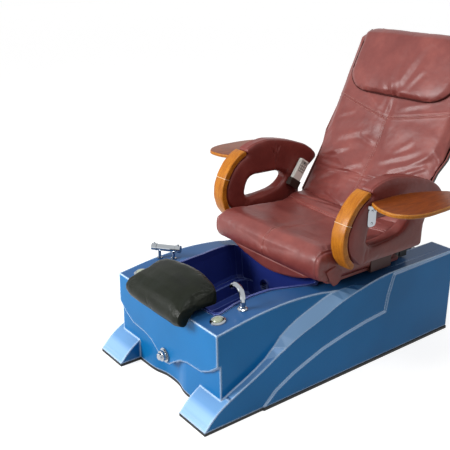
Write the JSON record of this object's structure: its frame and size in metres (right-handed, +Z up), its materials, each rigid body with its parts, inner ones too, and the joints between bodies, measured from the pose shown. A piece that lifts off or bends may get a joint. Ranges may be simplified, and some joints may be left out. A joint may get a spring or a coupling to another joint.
{
  "type": "pedicure spa chair",
  "caption": "Foot spa base with basin, spout and footrest carrying a sliding, reclining massage seat with looped arms and swivel trays.",
  "frame": {"origin": "on the floor under the middle of the bounding box", "axes": "+Z up, -Y the way the sitter faces, +X to the sitter's left"},
  "size_m": [1.2368, 1.5446, 1.2631],
  "materials": {
    "blue_gelcoat": "metallic blue gelcoat, glossy",
    "basin_acrylic": "glossy dark blue",
    "black_rubber": "matt",
    "chrome": "polished",
    "clear_plastic": "translucent",
    "steel": "powder grey",
    "dark_plastic": "satin dark brown",
    "pvc": "smooth",
    "black_vinyl": "glossy",
    "burgundy_leather": "semi gloss",
    "plywood": "raw",
    "honey_wood": "glossy lacquer",
    "off_white_plastic": "satin"
  },
  "bodies": {
    "base": {"base_shell": "blue_gelcoat", "base_trim": "black_rubber", "foot_basin": "basin_acrylic", "jet_left": "chrome", "jet_right": "chrome", "drain_strainer": "chrome", "spout_flange": "chrome", "mixer_body": "chrome", "button_bezel_left": "chrome", "button_bezel_right": "chrome", "drain_rosette": "chrome", "footrest_sleeve_left": "steel", "footrest_sleeve_right": "steel", "chassis_frame": "steel", "levelling_foot_front_left": "black_rubber", "levelling_foot_front_right": "black_rubber", "levelling_foot_rear_left": "black_rubber", "levelling_foot_rear_right": "black_rubber", "circulation_pump": "steel", "suction_pipe": "pvc", "jet_pipe": "pvc", "control_box": "dark_plastic", "service_cover": "blue_gelcoat", "slide_rail_left": "steel", "slide_rail_right": "steel", "slide_actuator": "steel"},
    "spout": {"spout": "chrome"},
    "flow_knob": {"flow_knob": "chrome"},
    "temperature_knob": {"temperature_knob": "chrome"},
    "air_button_left": {"air_button_left": "clear_plastic"},
    "air_button_right": {"air_button_right": "clear_plastic"},
    "drain_knob": {"drain_knob": "chrome"},
    "footrest": {"footrest_frame": "steel", "footrest_pad": "black_vinyl"},
    "seat": {"slide_carriage": "steel", "seat_frame": "steel", "seat_board": "plywood", "seat_cushion": "burgundy_leather", "seat_skirt": "burgundy_leather", "arm_support_left": "steel", "arm_support_right": "steel", "arm_loop_left": "burgundy_leather", "arm_loop_right": "burgundy_leather", "arm_wood_left": "honey_wood", "arm_wood_right": "honey_wood", "tray_bracket_left": "chrome", "tray_bracket_right": "chrome", "remote_holder": "dark_plastic", "recline_motor": "steel"},
    "tray_left": {"tray_left": "honey_wood"},
    "tray_right": {"tray_right": "honey_wood"},
    "remote": {"remote_control": "off_white_plastic"},
    "back": {"back_frame": "steel", "back_shell": "dark_plastic", "back_cushion": "burgundy_leather", "head_pillow": "burgundy_leather"},
    "massage_unit": {"massage_carriage": "steel", "massage_motor": "dark_plastic"},
    "kneading_head_left": {"kneading_head_left": "off_white_plastic"},
    "kneading_head_right": {"kneading_head_right": "off_white_plastic"}
  },
  "joints": [
    {"name": "spout_swivel", "type": "hinge", "parent": "base", "child": "spout", "pos_m": [0.266, -0.52, 0.42], "axis": [0, 0, 1], "range_deg": [-60, 60]},
    {"name": "flow_turn", "type": "hinge", "parent": "base", "child": "flow_knob", "pos_m": [-0.292, -0.486, 0.436], "axis": [0.7934, 0.6088, 0], "range_deg": [0, 90]},
    {"name": "temperature_turn", "type": "hinge", "parent": "base", "child": "temperature_knob", "pos_m": [-0.292, -0.486, 0.436], "axis": [0.7934, 0.6088, 0], "range_deg": [-60, 60]},
    {"name": "air_button_left_press", "type": "slide", "parent": "base", "child": "air_button_left", "axis": [0, 0.1413, -0.99], "range_m": [0, 0.004], "stiffness_N_per_m": 600, "springref_m": -0.002},
    {"name": "air_button_right_press", "type": "slide", "parent": "base", "child": "air_button_right", "axis": [0, 0.1413, -0.99], "range_m": [0, 0.004], "stiffness_N_per_m": 600, "springref_m": -0.002},
    {"name": "drain_turn", "type": "hinge", "parent": "base", "child": "drain_knob", "pos_m": [0, -0.693, 0.128], "axis": [0, -1, 0], "range_deg": [0, 90]},
    {"name": "footrest_lift", "type": "slide", "parent": "base", "child": "footrest", "axis": [0, 0, 1], "range_m": [0, 0.06]},
    {"name": "seat_slide", "type": "slide", "parent": "base", "child": "seat", "axis": [0, -1, 0], "range_m": [0, 0.1]},
    {"name": "back_recline", "type": "hinge", "parent": "seat", "child": "back", "pos_m": [0, 0.314, 0.47], "axis": [-1, 0, 0], "range_deg": [-12, 22]},
    {"name": "tray_left_swivel", "type": "hinge", "parent": "seat", "child": "tray_left", "pos_m": [0.434, -0.019, 0.72], "axis": [0, 0, -1], "range_deg": [0, 60]},
    {"name": "tray_right_swivel", "type": "hinge", "parent": "seat", "child": "tray_right", "pos_m": [-0.434, -0.019, 0.72], "axis": [0, 0, 1], "range_deg": [0, 60]},
    {"name": "remote_lift", "type": "slide", "parent": "seat", "child": "remote", "axis": [0, 0.5592, 0.829], "range_m": [0, 0.06]},
    {"name": "massage_travel", "type": "slide", "parent": "back", "child": "massage_unit", "axis": [0, 0.5299, 0.848], "range_m": [-0.11, 0.19]},
    {"name": "kneading_rock_left", "type": "hinge", "parent": "massage_unit", "child": "kneading_head_left", "pos_m": [0.078, 0.51664, 0.76788], "axis": [1, 0, 0], "range_deg": [-5, 5]},
    {"name": "kneading_rock_right", "type": "hinge", "parent": "massage_unit", "child": "kneading_head_right", "pos_m": [-0.078, 0.51664, 0.76788], "axis": [1, 0, 0], "range_deg": [-5, 5]}
  ],
  "couplings": [
    {"joint": "kneading_rock_right", "follows": "kneading_rock_left", "ratio": -1}
  ]
}
